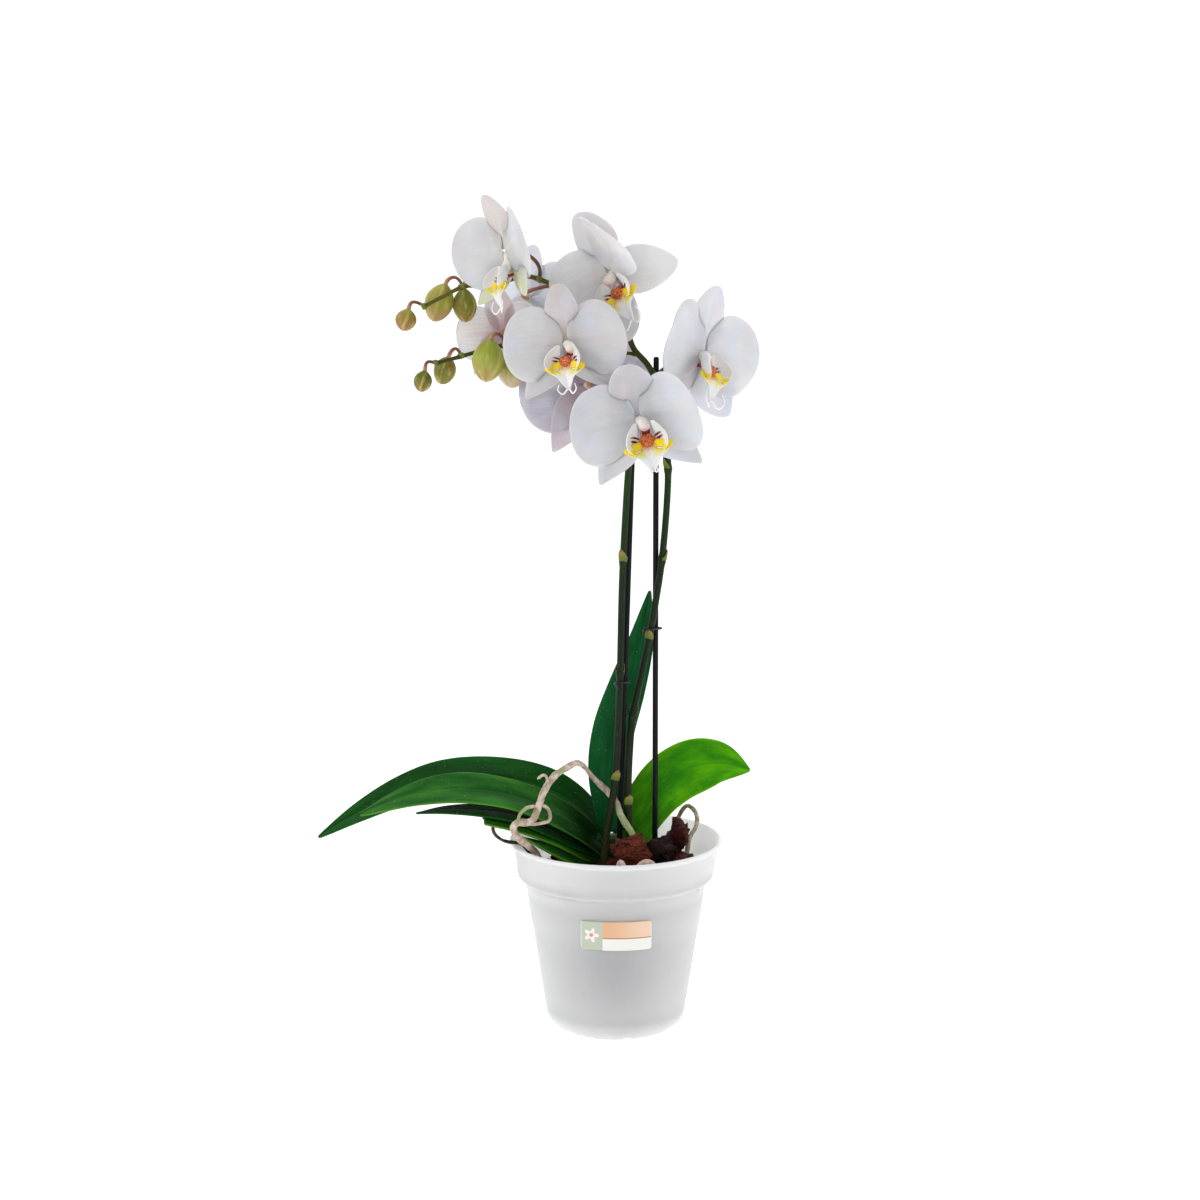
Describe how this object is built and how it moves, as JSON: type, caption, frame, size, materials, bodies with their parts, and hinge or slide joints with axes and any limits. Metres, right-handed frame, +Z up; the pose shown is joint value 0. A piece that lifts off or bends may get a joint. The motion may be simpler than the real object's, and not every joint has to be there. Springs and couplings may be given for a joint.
{
  "type": "potted orchid",
  "caption": "White moth orchid with two arching flower spikes, buds, strap leaves and aerial roots, tied to sticks in a frosted plastic grow pot filled with bark.",
  "frame": {"origin": "centre of the pot's foot, where it rests", "axes": "+Z up along the pot's axis, -Y towards the side that the front bloom faces, +X to the right seen from there"},
  "size_m": [0.2699, 0.1465, 0.5068],
  "materials": {
    "pot_plastic": "frosted translucent plastic",
    "label": "glossy sticker",
    "bark": "rough, damp pieces",
    "stake": "satin",
    "stem": "satin green skin with brown tint",
    "petal": "soft matt white",
    "lip": "waxy white and yellow with red marks",
    "bud": "satin yellow green",
    "leaf_dark": "glossy",
    "leaf_light": "glossy",
    "root": "matt silvery skin",
    "root_dark": "matt dark green skin"
  },
  "bodies": {
    "root": {"pot": "pot_plastic", "label": "label", "bark_fill": "bark", "stake_left": "stake", "stake_right": "stake", "clip_left": "stake", "clip_right": "stake", "clip_top": "stake", "spike_left": "stem", "spike_right": "stem", "crown": "stem", "bloom_a": "petal", "lip_a": "lip", "bloom_b": "petal", "lip_b": "lip", "bloom_d": "petal", "lip_d": "lip", "bloom_e": "petal", "lip_e": "lip", "bloom_f": "petal", "lip_f": "lip", "bloom_g": "petal", "lip_g": "lip", "bloom_h": "petal", "lip_h": "lip", "bloom_i": "petal", "lip_i": "lip", "bud_a": "bud", "bud_b": "bud", "bud_c": "bud", "bud_d": "bud", "bud_e": "bud", "bud_f": "bud", "bud_g": "bud", "leaf_upper_left": "leaf_dark", "leaf_front_left": "leaf_dark", "leaf_thin_left": "leaf_dark", "leaf_torn_left": "leaf_dark", "leaf_low_left": "leaf_dark", "leaf_upright": "leaf_dark", "leaf_right": "leaf_light", "root_arch": "root", "root_right": "root", "root_front": "root", "root_left": "root_dark"}
  },
  "joints": []
}
